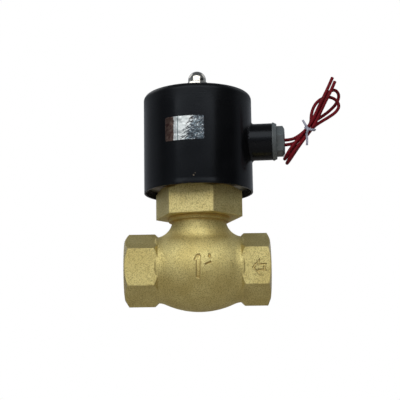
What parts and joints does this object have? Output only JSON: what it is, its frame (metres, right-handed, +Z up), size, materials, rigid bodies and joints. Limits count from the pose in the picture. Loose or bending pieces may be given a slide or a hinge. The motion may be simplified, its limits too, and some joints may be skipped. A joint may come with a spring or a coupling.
{
  "type": "solenoid valve",
  "caption": "Two-way normally closed solenoid valve for steam or hot water: brass globe body with threaded ends, piston and pilot plunger inside, round canned coil with flying leads.",
  "frame": {"origin": "where the port axis meets the coil axis", "axes": "+Z up the coil axis to the cap nut; +X along the port axis to the inlet, so flow runs along -X; -Y is the front, with the label and the flow arrow"},
  "size_m": [0.147, 0.0732, 0.1642],
  "materials": {
    "cast_brass": "satin",
    "turned_brass": "satin",
    "black_paint": "gloss",
    "stainless": "satin",
    "magnetic_steel": "satin",
    "zinc_plate": "satin",
    "chrome": "mirror",
    "spring_steel": "satin",
    "copper": "satin",
    "ptfe": "matte",
    "seal_rubber": "matte",
    "bobbin_plastic": "matte",
    "glass_tape": "matte",
    "gland_grey": "satin",
    "foil": "gloss",
    "lead_insulation": "satin",
    "tie_plastic": "satin"
  },
  "bodies": {
    "body": {"valve_body": "cast_brass", "bonnet": "turned_brass", "bonnet_gasket": "ptfe", "guide_tube": "stainless", "tube_nut": "turned_brass", "tube_seal": "seal_rubber", "fixed_core": "magnetic_steel", "shading_ring": "copper", "piston_spring": "spring_steel", "plunger_spring": "spring_steel", "flat_washer": "zinc_plate", "spring_washer": "spring_steel", "acorn_nut": "chrome"},
    "piston": {"piston": "turned_brass", "piston_ring": "ptfe", "seat_disc": "ptfe", "disc_washer": "turned_brass", "disc_screw": "turned_brass", "lift_cage": "turned_brass"},
    "plunger": {"plunger": "magnetic_steel", "pilot_seal": "ptfe"},
    "coil": {"coil_can": "black_paint", "conduit_boss": "black_paint", "base_plate": "zinc_plate", "flux_washer": "magnetic_steel", "bobbin": "bobbin_plastic", "winding": "copper", "winding_tape": "glass_tape", "lower_pole_sleeve": "magnetic_steel", "upper_pole_sleeve": "magnetic_steel", "gland_body": "gland_grey", "gland_grommet": "seal_rubber", "foil_label": "foil", "lead_wire_1": "lead_insulation", "lead_wire_2": "lead_insulation", "twist_tie": "tie_plastic"}
  },
  "joints": [
    {"name": "piston_lift", "type": "slide", "parent": "body", "child": "piston", "axis": [0, 0, 1], "range_m": [0, 0.007], "stiffness_N_per_m": 600, "springref_m": -0.01, "deforming": ["piston_spring"]},
    {"name": "plunger_lift", "type": "slide", "parent": "piston", "child": "plunger", "axis": [0, 0, 1], "range_m": [0, 0.003], "stiffness_N_per_m": 300, "springref_m": -0.01, "deforming": ["plunger_spring"]},
    {"name": "coil_turn", "type": "hinge", "parent": "body", "child": "coil", "pos_m": [0, 0, 0.085], "axis": [0, 0, 1], "continuous": true}
  ]
}
